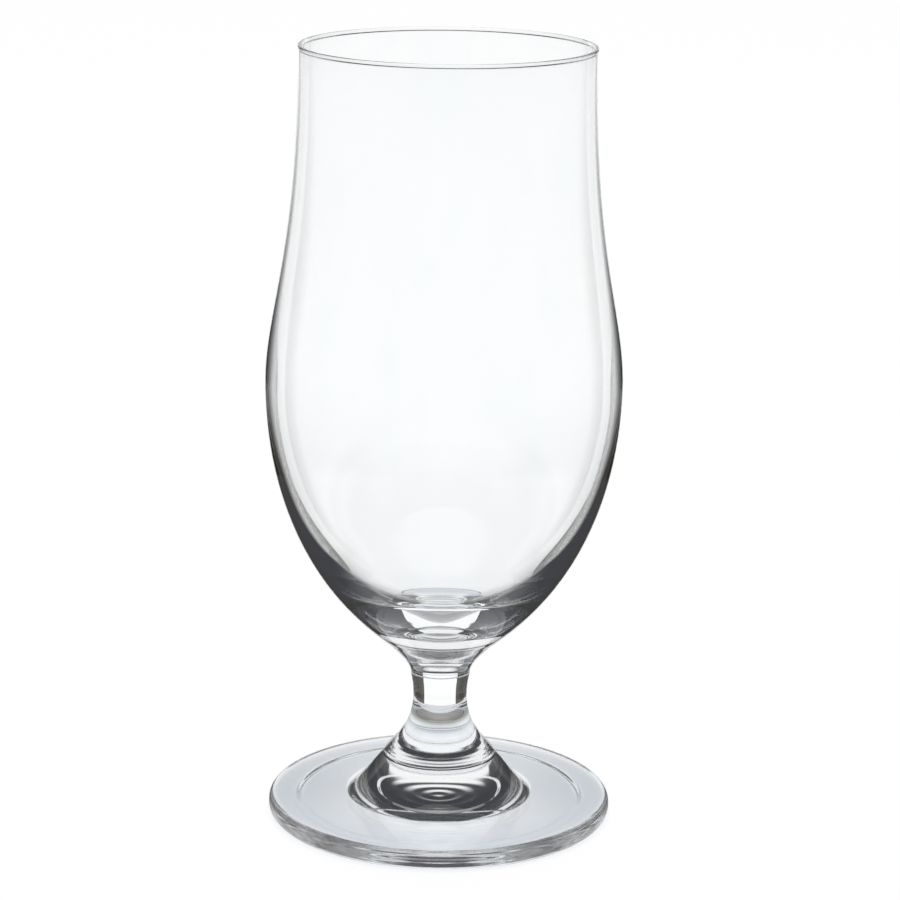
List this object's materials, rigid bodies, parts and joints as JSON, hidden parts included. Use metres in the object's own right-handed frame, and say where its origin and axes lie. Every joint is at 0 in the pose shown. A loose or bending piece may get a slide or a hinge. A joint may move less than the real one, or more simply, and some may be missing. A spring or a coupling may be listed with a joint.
{
  "type": "beer goblet",
  "caption": "Stemmed clear glass beer goblet: tulip bowl with a thin rounded rim and a heavy solid bottom, short waisted stem and a wide round foot; holds a poured drink.",
  "frame": {"origin": "centre of the resting ring under the foot, on the table surface", "axes": "+Z is the axis of the goblet and points up out of the mouth; X and Y are alike, because the goblet is round"},
  "size_m": [0.0838, 0.0838, 0.185],
  "materials": {
    "clear_glass": "polished clear soda-lime glass with a fire-polished rim"
  },
  "bodies": {
    "root": {"bowl": "clear_glass", "stem": "clear_glass", "foot": "clear_glass"}
  },
  "joints": []
}
